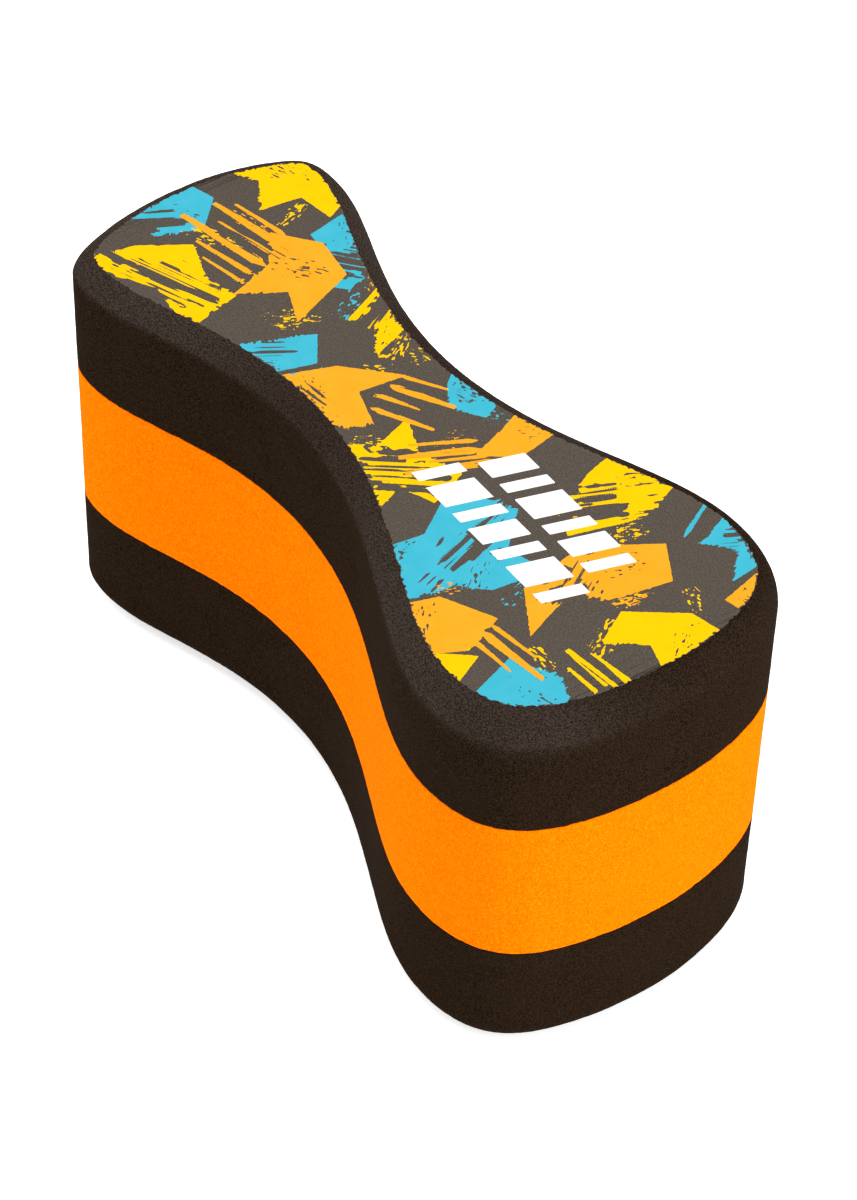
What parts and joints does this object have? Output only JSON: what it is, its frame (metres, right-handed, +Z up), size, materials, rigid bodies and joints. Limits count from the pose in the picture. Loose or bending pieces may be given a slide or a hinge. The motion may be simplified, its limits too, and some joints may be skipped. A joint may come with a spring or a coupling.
{
  "type": "pull buoy",
  "caption": "Hourglass foam pull buoy for swimming, cut from bonded black and orange foam sheets, with an abstract splinter print on its top face.",
  "frame": {"origin": "centre of the underside, halfway along the length and width, on the plane that the buoy rests on", "axes": "+X along the length towards the larger lobe, +Y across the waist, +Z up through the stack of foam sheets to the printed face"},
  "size_m": [0.24, 0.106, 0.1339],
  "materials": {
    "black_foam": "matte",
    "orange_foam": "matte",
    "bond": "matte",
    "grey_film": "satin",
    "yellow_ink": "satin",
    "blue_ink": "satin",
    "orange_ink": "satin",
    "white_ink": "satin"
  },
  "bodies": {
    "root": {"bottom_foam_layer": "black_foam", "lower_bond_line": "bond", "middle_foam_layer": "orange_foam", "upper_bond_line": "bond", "top_foam_layer": "black_foam", "print_base_film": "grey_film", "print_yellow": "yellow_ink", "print_blue": "blue_ink", "print_orange": "orange_ink", "print_white": "white_ink"}
  },
  "joints": []
}
